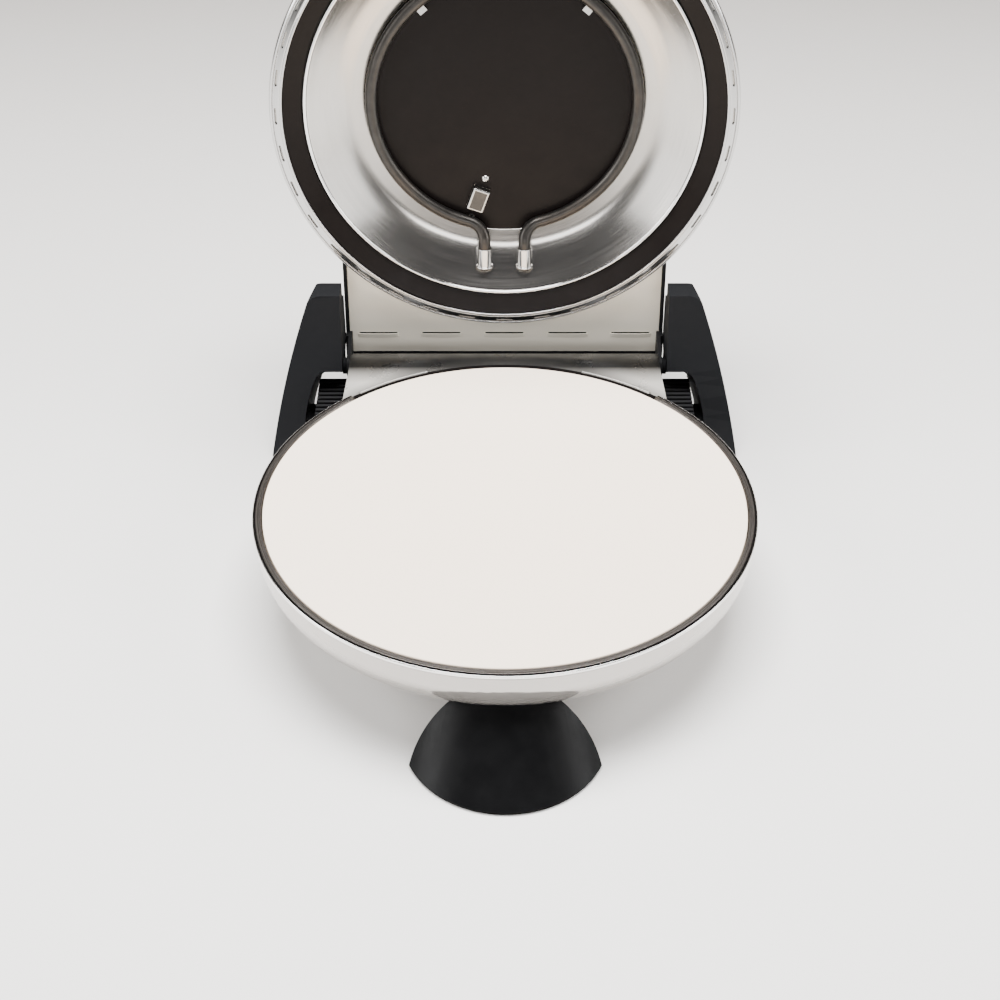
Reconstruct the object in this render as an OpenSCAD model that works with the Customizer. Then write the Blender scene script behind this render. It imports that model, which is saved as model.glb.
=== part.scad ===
// Clamshell tabletop stone oven: a round stone in a bowl-shaped base, and a domed lid that
// swings back on two rear hinge pins. Lid parts are drawn closed and then swung open.

/* [Baking stone] */
// Diameter of the baking stone
stone_d = 309; // [306:0.5:310]
// Thickness of the baking stone
stone_t = 12; // [10:0.5:14]
// Height of the stone's top face above the table
stone_top = 72; // [71.5:0.25:72.5]

/* [Base bowl] */
// Outer radius of the steel rim around the stone
rim_r = 161; // [160.5:0.25:161.5]
// Height of the bowl's flat underside above the table
bowl_z = 21.5; // [21:0.5:23]
// Wall of the bowl and of the lid shell
sheet_t = 1.2; // [1:0.1:1.4]
// Half width of the gap that the rim leaves at the rear
rim_gap_x = 105; // [102:1:106]

/* [Lid] */
// Outer radius of the lid
lid_r = 160; // [159.5:0.25:160.5]
// Height of the lid's lowest edge when it is closed
lid_z = 75; // [74.5:0.25:76]
// Height of the top of the dome when it is closed
dome_top = 166; // [162:1:170]
// Angle from closed to fully open
open_angle = 94; // [90:0.5:95]
// Number of vent slots around the trim ring
vent_n = 36; // [24:2:40]

/* [Heating elements] */
// Radius of the heater rings, at the middle of the tube
heater_r = 92; // [90:0.5:93]
// Diameter of the heater tube
heater_d = 8.5; // [8:0.25:8.5]
// Height of the lid's heater when the lid is closed
upper_heater_z = 98.5; // [98:0.25:98.5]
// Height of the base's heater
lower_heater_z = 47; // [46:0.5:49]
// Sideways distance of each heater end from the middle
terminal_x = 14.3; // [13:0.1:15]

/* [Hinge and rear] */
// Distance of the hinge axis behind the stone's centre
hinge_y = 182; // [181:0.25:183]
// Height of the hinge axis
hinge_z = 55; // [54.5:0.25:55.5]
// Diameter of the hinge pins
pin_d = 5; // [4:0.5:5]
// Radial running clearance of pins and shafts
running_gap = 0.05; // [0.02:0.01:0.1]
// Inner face of the side towers
tower_x = 116.3; // [116.2:0.05:116.5]
// Height of the flat tower tops
tower_top = 113.5; // [110:0.5:115]
// Half width of the slotted cover plate
plate_x = 113; // [112:0.25:113]

/* [Foot and handle] */
// How far the front foot and the lid handle reach in front of the centre
front_reach = 201.5; // [200:0.5:203]
// Radius of the round front edge of foot and handle
fan_r = 62; // [61.5:0.5:63]
// Radius of the thermostat knob
knob_r = 16; // [14:0.5:17]

/* [Hidden] */
$fn = 96;

// Distance of the stone's centre in front of the outline's centre.
origin_y = 53.2;

// Bowl section: a quarter-round shoulder that runs into a shallow crown cut off flat.
bowl_band_z = 61;
bowl_top_z = 68.5;
bowl_r = rim_r - 0.7;
bowl_shoulder_r = 30;
bowl_crown_z = 500;

// Lid section: a large shoulder that runs into the dome's crown.
dome_edge_z = lid_z + 3;
shell_z = dome_edge_z + 5.1;
dome_shoulder_r = 45;
dome_shoulder_c = lid_r - dome_shoulder_r;
dome_rise = dome_top - dome_edge_z;
dome_crown_r = (dome_shoulder_c * dome_shoulder_c + dome_rise * dome_rise - dome_shoulder_r * dome_shoulder_r)
    / (2 * (dome_rise - dome_shoulder_r));
dome_crown_z = dome_top - dome_crown_r;

// Reflector section, given as radius and height of its corners with the lid closed.
bead_r = 136.2;
bead_z = 81.8;
trough = [113.6, 97.6];
centre_r = 99.5;
centre_z = 103.5;

// Where the heater ends pass through the reflector wall.
end_z = 92;
// Screws of the limit thermostat, measured along it.
limit_screws = [-15.2, 16];
ferrule_y0 = 106;
ferrule_y1 = 120.8;
ferrule_r = 5;
bend_r = 14;
cold_r = 3;
fit_gap = 0.1;

// Cover plate and hinge arms, with the lid closed.
plate_z = 82;
plate_y = 185;
arm_x0 = 111.2;
arm_x1 = 113.8;
cheek_x1 = 115.8;
boss_r = 6;
hub_r = 8;
bush_r = 4;

// Side towers: outline seen along a line that falls backward by this angle.
tower_fall = 34;
tower_back = 200;
face = [[182, 113.5], [167, 59.9], [142, 0]];
outer_edge = [[136.9, 198.5], [154.1, 147.3], [168.2, 82]];
hook_w = 142.6;
leg_in = [143.4, 112.5];
pad_t = 2;

// Rear housing.
housing_x = 134.5;
housing_top = 44;
housing_bottom = 7;
housing_back = 203;
housing_t = 2.5;
lug_y = 171;
lug_z = 15;
deck_z = 70;

// Foot and handle. The foot's side outline is given across a line that falls forward.
foot_fall = 46;
foot_edge = [[57.7, -118.4], [48.6, -96], [27.6, -74.6]];
foot_t = 3.2;
fan_y = -front_reach + fan_r;
knob_y = -160;
knob_z = 112;
knob_tilt = 39;

// Centre of the circle through three points.
function circle_centre(a, b, c) =
    let (d = 2 * (a[0] * (b[1] - c[1]) + b[0] * (c[1] - a[1]) + c[0] * (a[1] - b[1])),
         sa = a * a, sb = b * b, sc = c * c)
    [(sa * (b[1] - c[1]) + sb * (c[1] - a[1]) + sc * (a[1] - b[1])) / d,
     (sa * (c[0] - b[0]) + sb * (a[0] - c[0]) + sc * (b[0] - a[0])) / d];

// Half section of a round shell, shrunk by t: crown circle, shoulder circle and straight band.
module round_section(shoulder_c, shoulder_r, crown_z, crown_r, t, floor_z) {
    far = 2 * crown_r;
    k = far / norm([shoulder_c[0], shoulder_c[1] - crown_z]);
    side = [shoulder_c[0] * k, crown_z + (shoulder_c[1] - crown_z) * k];
    end_y = crown_z + (shoulder_c[1] > crown_z ? far : -far);
    intersection() {
        union() {
            intersection() {
                translate([0, crown_z]) circle(r = crown_r - t, $fn = 200);
                polygon([[0, crown_z], [0, end_y], side]);
            }
            translate(shoulder_c) circle(r = shoulder_r - t);
        }
        translate([0, shoulder_c[1] > crown_z ? shoulder_c[1] : floor_z])
            square([400, shoulder_c[1] > crown_z ? 400 : shoulder_c[1] - floor_z]);
    }
}

module bowl_section(t) {
    c = [bowl_r - bowl_shoulder_r, bowl_band_z];
    crown_r = norm([c[0], bowl_crown_z - c[1]]) + bowl_shoulder_r;
    round_section(c, bowl_shoulder_r, bowl_crown_z, crown_r, t, bowl_z + t);
    translate([0, bowl_band_z]) square([bowl_r - t, bowl_top_z - bowl_band_z]);
}

module dome_section(t) {
    round_section([dome_shoulder_c, dome_edge_z], dome_shoulder_r, dome_crown_z, dome_crown_r, t, 0);
}

// Solid dome, used to trim whatever is fitted against it.
module dome_solid(grow) {
    rotate_extrude() dome_section(-grow);
    translate([0, 0, lid_z]) cylinder(r = lid_r + grow, h = shell_z - lid_z);
}

// Swings lid parts, drawn closed, to the open rest position.
module opened() {
    translate([0, hinge_y - origin_y, hinge_z])
        rotate([-open_angle, 0, 0])
            translate([0, -hinge_y, -hinge_z]) children();
}

// Shifts base parts so that the whole oven's outline is centred on the origin.
module placed() {
    translate([0, -origin_y, 0]) children();
}

module both_sides() {
    children();
    mirror([1, 0, 0]) children();
}

module along_x(x0, x1, y, z, r) {
    translate([x0, y, z]) rotate([0, 90, 0]) cylinder(r = r, h = x1 - x0);
}

module along_y(x, y0, y1, z, r) {
    translate([x, y1, z]) rotate([90, 0, 0]) cylinder(r = r, h = y1 - y0);
}

// Extrudes an outline both ways along a line that falls toward the rear by this angle.
module raked(fall, reach) {
    rotate([90 - fall, 0, 0]) translate([0, 0, -reach]) linear_extrude(2 * reach) children();
}

// Frame of the thermostat: origin on the handle's slope, +Z out of it.
module on_handle() {
    translate([0, knob_y, knob_z]) rotate([knob_tilt, 0, 0]) children();
}

// Ring with rounded outer corners.
module ring_plate(r0, r1, z0, z1) {
    rotate_extrude() translate([r0, z0]) square([r1 - r0, z1 - z0]);
}

// ---- Base ----

module base_bowl() {
    color("#e6e0d6") placed() {
        difference() {
            rotate_extrude() difference() {
                bowl_section(0);
                bowl_section(sheet_t);
                translate([-1, bowl_z - 1]) square([71, 3]);
            }
            for (a = [0:60:300]) rotate([0, 0, a + 30]) translate([74, 0, bowl_z - 1]) cylinder(r = 2, h = 4);
        }
        ring_plate(157.4, bowl_r - 0.4, bowl_top_z - sheet_t, bowl_top_z);
    }
}

module rim_ring() {
    flange_z = stone_top - stone_t;
    inner = stone_d / 2 + 0.7;
    color("#9a9894") placed() difference() {
        rotate_extrude() {
            polygon([
                [inner, flange_z], [inner + 1.3, flange_z], [inner + 1.3, stone_top - 1.6],
                [rim_r - 0.9, stone_top - 1.6], [rim_r, stone_top - 0.9], [rim_r, stone_top - 0.7],
                [rim_r - 0.7, stone_top], [inner, stone_top]
            ]);
        }
        translate([-rim_gap_x, 100, 50]) cube([2 * rim_gap_x, 80, 30]);
    }
}

module baking_stone() {
    r = stone_d / 2;
    c = 0.8;
    color("#efebe5") placed() translate([0, 0, stone_top - stone_t]) rotate_extrude()
        polygon([[0, 0], [r - c, 0], [r, c], [r, stone_t - c], [r - c, stone_t], [0, stone_t]]);
}

// The dish under the stone; its flange carries the stone.
module lower_reflector() {
    flange_z = stone_top - stone_t;
    color("#b9bcc0") placed() difference() {
        rotate_extrude() polygon([
            [0, 36], [118, 36], [144, flange_z - 1.2], [158.8, flange_z - 1.2], [158.8, flange_z],
            [143.4, flange_z], [117.5, 37.2], [0, 37.2]
        ]);
        both_sides() along_y(terminal_x, 110, 150, lower_heater_z, ferrule_r + 0.2);
    }
}

// Heater ring with two ends that bend out to the rear; the bends tip down to z_end.
module heater(z, z_end, y_end) {
    r = heater_d / 2;
    bend_x = terminal_x + bend_r;
    bend_y = sqrt((heater_r + bend_r) * (heater_r + bend_r) - bend_x * bend_x);
    start = atan2(bend_y, bend_x);
    join = [heater_r * cos(start), heater_r * sin(start)];
    tip = asin((z - z_end) / (bend_y - join[1]));
    out_y = join[1] + (bend_y - join[1]) * cos(tip);
    translate([0, 0, z]) rotate([0, 0, 180 - start])
        rotate_extrude(angle = 180 + 2 * start) translate([heater_r, 0]) circle(r = r, $fn = 32);
    for (s = [-1, 1]) {
        // crimped collars where the tube changes direction
        translate([s * join[0], join[1], z]) rotate([0, 0, s * start]) rotate([90, 0, 0])
            cylinder(r = r + 0.3, h = 3, center = true);
        along_y(s * terminal_x, out_y - 1.5, out_y + 1.5, z_end, r + 0.3);
        translate([s * join[0], join[1], z]) rotate([-tip, 0, 0])
            translate([s * bend_r * cos(start), bend_r * sin(start), 0]) rotate([0, 0, s > 0 ? 180 : -start])
                rotate_extrude(angle = start) translate([bend_r, 0]) circle(r = r, $fn = 32);
        along_y(s * terminal_x, out_y, ferrule_y0 + 6, z_end, r);
        along_y(s * terminal_x, ferrule_y0 + 5, y_end, z_end, cold_r);
    }
}

module lower_heater() {
    color("#4a4744") placed() heater(lower_heater_z, lower_heater_z, 150);
}

// Sleeve with a collar around each heater end.
module ferrules(z, y0, y1) {
    both_sides() difference() {
        union() {
            along_y(terminal_x, y0, y1 + 8, z, ferrule_r);
            along_y(terminal_x, y1 - 1.2, y1, z, ferrule_r + 1);
        }
        along_y(terminal_x, y0 - 1, y1 + 9, z, heater_d / 2 + fit_gap);
    }
}

module lower_heater_ferrules() {
    color("#c8cacc") placed() both_sides() difference() {
        along_y(terminal_x, 122, 136, lower_heater_z, ferrule_r);
        along_y(terminal_x, 121, 137, lower_heater_z, cold_r + fit_gap);
    }
}

// Saddle clip: a post with a half collar over the tube.
module clip(z0, z, side) {
    post_h = abs(z - side * heater_d / 2 - z0);
    low = min(z0, z - side * heater_d / 2);
    translate([heater_r - 4, -3, low]) cube([8, 6, post_h]);
}

module lower_heater_clips() {
    color("#a9abad") placed() difference() {
        for (a = [-90, 30, 150]) rotate([0, 0, a]) clip(37.2, lower_heater_z, 0);
        translate([0, 0, lower_heater_z]) rotate_extrude() translate([heater_r, 0]) circle(r = heater_d / 2, $fn = 32);
    }
}

module lower_insulation() {
    color("#d9cfb4") placed() ring_plate(0, 104, bowl_z + 3.5, 35.7);
}

module bottom_cover() {
    color("#8d8f91") placed() difference() {
        ring_plate(0, 82, bowl_z - 1.2, bowl_z);
        for (a = [0:60:300]) rotate([0, 0, a + 30]) translate([74, 0, bowl_z - 3]) cylinder(r = 2, h = 5);
        for (i = [-3:3]) translate([-30, i * 10 - 1.5, bowl_z - 3]) cube([60, 3, 5]);
    }
}

module bottom_screws() {
    color("#c0c0c0") placed() for (a = [0:60:300]) rotate([0, 0, a + 30]) translate([74, 0, 0]) {
        translate([0, 0, bowl_z - 1.2]) cylinder(r = 2, h = 2.6);
        translate([0, 0, bowl_z - 3.2]) cylinder(r = 3.6, h = 2);
    }
}

// Fan: an oblique cone whose large round edge is at the front.
module fan_cone(z_wide, z_narrow, back, r_narrow, shrink) {
    hull() {
        translate([0, fan_y, z_wide]) cylinder(r = fan_r - shrink, h = 0.2, $fn = 80);
        translate([0, back, z_narrow]) cylinder(r = r_narrow - shrink, h = 0.2, $fn = 80);
    }
}

// Outline that gives the fan its two sharp corners, seen from the front.
module fan_sides(z_wide, z_narrow) {
    half_wide = 57;
    half_narrow = 31;
    side = [[half_wide, z_wide], [half_wide - 11.5, z_wide + (z_narrow - z_wide) * 0.5], [half_narrow, z_narrow]];
    c = circle_centre(side[0], side[1], side[2]);
    rr = norm(side[0] - c);
    translate([0, -80, 0]) rotate([90, 0, 0]) linear_extrude(150) intersection() {
        translate(c) circle(r = rr, $fn = 160);
        mirror([1, 0]) translate(c) circle(r = rr, $fn = 160);
        translate([-80, min(z_wide, z_narrow)]) square([160, abs(z_narrow - z_wide)]);
    }
}

// Outline that cuts the foot to its two sharp corners, across the line that falls forward.
module foot_outline() {
    c = circle_centre(foot_edge[0], foot_edge[1], foot_edge[2]);
    intersection() {
        translate(c) circle(r = norm(foot_edge[0] - c), $fn = 160);
        mirror([1, 0]) translate(c) circle(r = norm(foot_edge[0] - c), $fn = 160);
    }
}

module front_foot() {
    top = 44;
    color("#1d1e20") placed() difference() {
        intersection() {
            fan_cone(pad_t, top, -104, 45, 0);
            raked(foot_fall, 300) foot_outline();
        }
        fan_cone(pad_t - 0.3, top + 4, -100, 45, foot_t);
        rotate_extrude() bowl_section(-0.05);
        translate([-80, -132, -1]) cube([160, 100, 60]);
    }
}

module front_foot_pad() {
    color("#111111") placed() difference() {
        intersection() {
            translate([0, fan_y, 0]) cylinder(r = fan_r - 0.8, h = pad_t);
            raked(foot_fall, 300) foot_outline();
        }
        translate([0, fan_y, -1]) cylinder(r = fan_r - 3.3, h = pad_t + 2);
        translate([-80, -150, -1]) cube([160, 80, 10]);
    }
}

// Tower outline in the plane across the view fall line.
module tower_outline() {
    c = circle_centre(outer_edge[0], outer_edge[1], outer_edge[2]);
    r = norm(outer_edge[0] - c);
    difference() {
        intersection() {
            translate(c) circle(r = r, $fn = 200);
            translate([tower_x, 60]) square([60, 160]);
        }
        polygon([[110, hook_w], [131.5, hook_w], [135.2, hook_w - 3.6], [137.3, hook_w - 8],
                 [141.2, hook_w - 20], leg_in, [144, 105], [144, 40], [110, 40]]);
    }
}

module tower_body() {
    c = circle_centre(face[0], face[1], face[2]);
    r = norm(face[0] - c);
    corner = 12;
    difference() {
        intersection() {
            raked(tower_fall, 220) tower_outline();
            translate([100, 0, 0]) rotate([90, 0, 90]) linear_extrude(80) difference() {
                polygon([
                    [120, pad_t], [tower_back, pad_t], [tower_back, hinge_z], [tower_back + 11, hinge_z + 7],
                    [tower_back + 11, tower_top - 17], [tower_back, tower_top - 10], [tower_back, tower_top],
                    [120, tower_top]
                ]);
                translate(c) circle(r = r, $fn = 360);
            }
        }
        // rounds the upper outer corner
        translate([142 - corner, 120, tower_top - corner]) rotate([-90, 0, 0]) difference() {
            translate([0, -40, 0]) cube([60, 40, 120]);
            translate([0, 0, -1]) cylinder(r = corner, h = 122);
        }
        along_x(100, 130, hinge_y, hinge_z, pin_d / 2);
        along_x(140, 156, lug_y, lug_z, 2);
        // clearance over the housing, and the recess for its lug
        translate([100, 100, 0]) cube([housing_x + 0.4 - 100, 120, housing_top + 0.3]);
        translate([120, lug_y - 11, lug_z - 7.5]) cube([24, 21.5, 15]);
    }
}

module tower() {
    tower_body();
    difference() {
        along_x(arm_x1 + 0.4, tower_x + 0.5, hinge_y, hinge_z, boss_r);
        along_x(100, 130, hinge_y, hinge_z, pin_d / 2);
    }
}

module right_tower() {
    color("#222326") placed() tower();
}

module left_tower() {
    color("#222326") placed() mirror([1, 0, 0]) tower();
}

module rear_foot_pads() {
    color("#111111") placed() both_sides() translate([148, 150, 0]) cube([16, 44, pad_t]);
}

module tower_screws() {
    color("#b8b8b8") placed() both_sides() {
        along_x(131, 156, lug_y, lug_z, 2);
        along_x(129.4, 131.9, lug_y, lug_z, 3.6);
    }
}

// Painted plate behind the stone: level at the stone, curving down to the hinge, then turned down.
module rear_deck() {
    t = 1.2;
    back_y = 185;
    bend_y0 = 163;
    bend = 40;
    fall = 33;
    end_y = bend_y0 + bend * sin(fall);
    lip_r = 160.2;
    half_sheet = 110.4;
    half_flange = 105.5;
    color("#dcd5c9") placed() {
        difference() {
            union() {
                translate([-half_sheet, 0, 0]) rotate([90, 0, 90]) linear_extrude(2 * half_sheet) {
                    translate([100, deck_z - t]) square([bend_y0 - 99.9, t]);
                    intersection() {
                        translate([bend_y0, deck_z - bend]) difference() {
                            circle(r = bend, $fn = 160);
                            circle(r = bend - t, $fn = 160);
                        }
                        translate([bend_y0, 50]) square([end_y - bend_y0, 30]);
                    }
                }
                translate([-half_flange, back_y - t, housing_top])
                    cube([2 * half_flange, t, deck_z - bend * (1 - cos(fall)) - housing_top - 0.2]);
                translate([0, 0, deck_z - t]) linear_extrude(t)
                    polygon([[-112, 118], [112, 118], [110.4, 150], [-110.4, 150]]);
            }
            translate([0, 0, 40]) cylinder(r = 158.7, h = 60, $fn = 200);
        }
        for (m = [0, 1]) mirror([m, 0, 0]) rotate([0, 0, 51]) translate([0, 0, deck_z])
            rotate_extrude(angle = 19, $fn = 200) intersection() {
                translate([lip_r, 0]) circle(r = 1.5, $fn = 32);
                translate([lip_r - 2, 0]) square([4, 2]);
            }
    }
}

module rear_housing() {
    rib_pitch = 5;
    rib_gap = 2.4;
    color("#17181a") placed() difference() {
        union() {
            translate([-housing_x, 80, housing_bottom])
                cube([2 * housing_x, housing_back - 80, housing_top - housing_bottom]);
            both_sides() translate([housing_x - 1, lug_y - 10.5, lug_z - 7]) cube([10.4, 20.5, 14]);
        }
        translate([-104, 165, housing_bottom - 1])
            cube([208, housing_back - 165 - housing_t, housing_top - housing_bottom + 1 - housing_t]);
        translate([-housing_x + housing_t, 165, housing_bottom - 1])
            cube([2 * (housing_x - housing_t), housing_back - 165 - housing_t, 18]);
        // the outer rear corners fall away
        both_sides() translate([107, 0, 0]) rotate([90, 0, 90]) linear_extrude(40)
            polygon([[181.3, housing_top + 0.1], [210, 24.7], [210, 60], [181.3, 60]]);
        translate([0, 0, -1]) cylinder(r = bowl_r + 1.2, h = 80, $fn = 200);
        for (i = [0:15]) both_sides()
            translate([112, 104 + i * rib_pitch, housing_top - 1.6]) cube([30, rib_gap, 5]);
        for (i = [-4:4]) translate([i * 12 - 2, housing_back - 5, 16]) cube([4, 10, 20]);
        along_y(-95, housing_back - 5, housing_back + 5, 24, 7);
        both_sides() along_x(130, 146, lug_y, lug_z, 2);
        for (x = [-120, 120]) translate([x, 169, 0]) cylinder(r = 1.5, h = 13);
    }
}

module housing_base_plate() {
    w = housing_x - housing_t - 0.3;
    color("#17181a") placed() difference() {
        translate([-w, 165.3, housing_bottom]) cube([2 * w, housing_back - 165.6 - housing_t, 2.5]);
        for (x = [-120, 120]) translate([x, 169, 0]) cylinder(r = 1.5, h = 13);
    }
}

module housing_screws() {
    color("#b8b8b8") placed() for (x = [-120, 120]) translate([x, 169, 0]) {
        translate([0, 0, housing_bottom - 1.8]) cylinder(r = 3, h = 1.8);
        translate([0, 0, housing_bottom]) cylinder(r = 1.5, h = 5.5);
    }
}

module terminal_block() {
    color("#e9e6dc") placed() difference() {
        translate([-24, 172, housing_bottom + 2.5]) cube([48, 18, 16]);
        for (i = [-1:1]) translate([i * 14, 181, housing_bottom + 8]) cylinder(r = 3, h = 12);
        for (i = [-1:1]) translate([i * 14, 171, housing_bottom + 9]) rotate([-90, 0, 0]) cylinder(r = 2, h = 20);
    }
}

module cord_gland() {
    color("#0e0e0e") placed() difference() {
        union() {
            along_y(-95, housing_back - 6, housing_back, 24, 7);
            along_y(-95, housing_back, housing_back + 3, 24, 9);
        }
        along_y(-95, housing_back - 7, housing_back + 4, 24, 3.5);
    }
}

module hinge_pins() {
    color("#c9c9c9") placed() both_sides() difference() {
        along_x(arm_x0 - 3.2, 130, hinge_y, hinge_z, pin_d / 2);
        translate([arm_x0 - 2.6, hinge_y, hinge_z]) rotate([0, 90, 0]) difference() {
            cylinder(r = 4, h = 0.8);
            translate([0, 0, -1]) cylinder(r = pin_d / 2 - 0.5, h = 3);
        }
    }
}

module pin_clips() {
    color("#9a9a9a") placed() both_sides() difference() {
        along_x(arm_x0 - 2.6, arm_x0 - 1.8, hinge_y, hinge_z, 4.5);
        along_x(arm_x0 - 3, arm_x0 - 1, hinge_y, hinge_z, pin_d / 2 - 0.5);
    }
}

// ---- Lid, drawn closed ----

module lid_shell() {
    color("#e6e0d6") opened() difference() {
        rotate_extrude() difference() {
            dome_section(0);
            dome_section(sheet_t);
            translate([-1, 0]) square([400, shell_z]);
        }
        on_handle() translate([0, 0, -40]) cylinder(r = 13, h = 50);
    }
}

module lid_trim_ring() {
    slot_l = 12;
    slot_w = 1.8;
    slot_r = 155.6;
    color("#c4c4c6") opened() difference() {
        rotate_extrude() polygon([
            [150.9, lid_z + 0.4], [151.6, lid_z], [153, lid_z + 0.3], [lid_r - 0.8, lid_z + 2.2],
            [lid_r, dome_edge_z + 0.4], [lid_r, shell_z - 0.1], [lid_r - 1, shell_z - 0.1],
            [lid_r - 1, dome_edge_z + 0.8], [lid_r - 1.6, lid_z + 3.1], [152.6, lid_z + 1.3],
            [150.9, lid_z + 1.3]
        ]);
        for (i = [0:vent_n - 1]) rotate([0, 0, i * 360 / vent_n])
            translate([slot_r - slot_w / 2, -slot_l / 2, lid_z - 2]) cube([slot_w, slot_l, 8]);
    }
}

module lid_black_ring() {
    color("#2a2322") opened() rotate_extrude()
        polygon([[150.8, lid_z + 1.5], [150.8, lid_z + 3], [137.8, 83.6], [137.8, 82.1]]);
}

module lid_reflector() {
    t = 1;
    color("#aaa8a4") opened() difference() {
        union() {
            translate([0, 0, bead_z]) rotate_extrude() translate([bead_r, 0]) circle(r = 1.4, $fn = 32);
            rotate_extrude() polygon([
                [bead_r - 0.8, bead_z], [trough[0], trough[1]], [centre_r - 3, centre_z], [centre_r - 3, centre_z + t],
                [trough[0] + 0.3, trough[1] + t + 0.3], [bead_r + 0.3, bead_z + t]
            ]);
        }
        both_sides() {
            along_y(terminal_x, ferrule_y0 - 2, ferrule_y1 + 0.05, end_z, ferrule_r + 1.1);
            along_y(terminal_x, ferrule_y1, 140, end_z, ferrule_r + fit_gap);
        }
    }
}

module center_plate() {
    color("#2a2322") opened() difference() {
        ring_plate(0, centre_r - 3.2, centre_z, centre_z + 1.2);
        limit_frame() for (y = limit_screws) translate([0, y, -5]) cylinder(r = 1.5, h = 20);
        limit_frame() translate([-6.2, -8.6, -5]) cube([12.4, 17.2, 20]);
    }
}

module upper_heater() {
    color("#45423f") opened() heater(upper_heater_z, end_z, 134);
}

module upper_heater_ferrules() {
    color("#d5d6d8") opened() ferrules(end_z, ferrule_y0, ferrule_y1);
}

// Two posts that hold the far side of the ring to the centre plate.
module upper_heater_clips() {
    color("#a9abad") opened() difference() {
        for (a = [-50, -130]) rotate([0, 0, a]) translate([heater_r - 8, -3, upper_heater_z - 1])
            cube([7, 6, centre_z - upper_heater_z + 1]);
        translate([0, 0, upper_heater_z]) rotate_extrude()
            translate([heater_r, 0]) circle(r = heater_d / 2, $fn = 32);
    }
}

module lid_insulation() {
    color("#d9cfb4") opened() difference() {
        ring_plate(0, 104, centre_z + 1.6, centre_z + 22);
        limit_frame() translate([0, 0, -2]) cylinder(r = 21, h = 30);
    }
}

// Frame of the limit thermostat on the centre plate.
module limit_frame() {
    translate([-18.6, 72, centre_z]) rotate([0, 0, 19.7]) children();
}

module limit_thermostat_cap() {
    color("#b4b4b4") opened() limit_frame() difference() {
        translate([-6.2, -8.6, -6.5]) cube([12.4, 17.2, 7.7]);
        translate([-5.2, -7.6, -5.5]) cube([10.4, 15.2, 8]);
    }
}

module limit_thermostat_body() {
    color("#efe8dc") opened() limit_frame() {
        difference() {
            translate([0, 0, 1.4]) cylinder(r = 19, h = 14);
            for (y = limit_screws) translate([0, y, 0]) cylinder(r = 1.5, h = 7);
        }
        translate([-4, 12, 15.4]) cube([8, 1, 7]);
        translate([-4, -13, 15.4]) cube([8, 1, 7]);
    }
}

// The lower screw sits behind the heater tube, so its head is thin.
module limit_thermostat_screws() {
    color("#cdb98a") opened() limit_frame() {
        for (y = limit_screws) translate([0, y, 0]) cylinder(r = 1.5, h = 6);
        translate([0, limit_screws[0], 1.3]) intersection() {
            sphere(r = 2.9, $fn = 40);
            translate([-4, -4, -5.3]) cube([8, 8, 4]);
        }
        translate([0, limit_screws[1], -0.4]) cylinder(r = 2.6, h = 0.4);
    }
}

module hinge_cover_plate() {
    slot_l = 28;
    slot_w = 1.8;
    slot_pitch = 46.2;
    slot_y = 170;
    color("#d9d1c5") opened() difference() {
        translate([-plate_x, 100, plate_z]) cube([2 * plate_x, plate_y - 100, 1.2]);
        translate([0, 0, plate_z - 5]) cylinder(r = lid_r + 0.4, h = 10, $fn = 200);
        for (i = [-2:2]) translate([i * slot_pitch - slot_l / 2, slot_y - slot_w / 2, plate_z - 1])
            cube([slot_l, slot_w, 5]);
    }
}

// Hood behind the dome: a hollow box closed by the cover plate, with its own rear wall.
module rear_cover_block(t) {
    w = plate_x - t;
    translate([-w, 0, 0]) rotate([90, 0, 90]) linear_extrude(2 * w) polygon([
        [100, plate_z + 1.2], [188 - t, plate_z + 1.2], [188 - t, 100 - t], [180 - t, 108 - t], [126, 122 - t],
        [100, 122 - t]
    ]);
}

module lid_rear_cover() {
    color("#17181a") opened() difference() {
        union() {
            rear_cover_block(0);
            translate([-plate_x, plate_y + 0.2, plate_z - 0.4]) cube([2 * plate_x, 188 - plate_y - 0.2, 2]);
        }
        translate([0, 0, -0.2]) rear_cover_block(2.6);
        dome_solid(0.15);
        for (x = [-60, 60]) along_y(x, 170, 190, 94, 1.8);
        for (i = [-4:4]) translate([i * 14 - 4, 180, 88]) cube([8, 10, 2.5]);
    }
}

module rear_cover_screws() {
    color("#b8b8b8") opened() for (x = [-60, 60]) {
        along_y(x, 180, 188, 94, 1.8);
        along_y(x, 188, 189.8, 94, 3.4);
    }
}

// One arm: hub and leg inside, bridge, and the cheek beside the hood.
module arm() {
    bridge_z = 74;
    difference() {
        union() {
            along_x(arm_x0, arm_x1, hinge_y, hinge_z, hub_r);
            translate([arm_x0, 0, 0]) rotate([90, 0, 90]) linear_extrude(arm_x1 - arm_x0) polygon([
                [hinge_y - hub_r, hinge_z], [hinge_y + 6, hinge_z], [188, bridge_z], [188, plate_z - 0.5],
                [168, plate_z - 0.5], [168, bridge_z]
            ]);
            translate([arm_x0, 168, bridge_z]) cube([cheek_x1 - arm_x0, 20, plate_z - 0.5 - bridge_z]);
            translate([plate_x + 0.1, 0, 0]) rotate([90, 0, 90]) linear_extrude(cheek_x1 - plate_x - 0.1) polygon([
                [108, plate_z - 2], [168, plate_z - 2], [168, bridge_z], [188, bridge_z], [188, 100], [180, 108],
                [126, 122], [108, 122]
            ]);
        }
        dome_solid(0.15);
        along_x(100, 120, hinge_y, hinge_z, bush_r);
    }
}

module right_hinge_arm() {
    color("#131416") opened() arm();
}

module left_hinge_arm() {
    color("#131416") opened() mirror([1, 0, 0]) arm();
}

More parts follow.
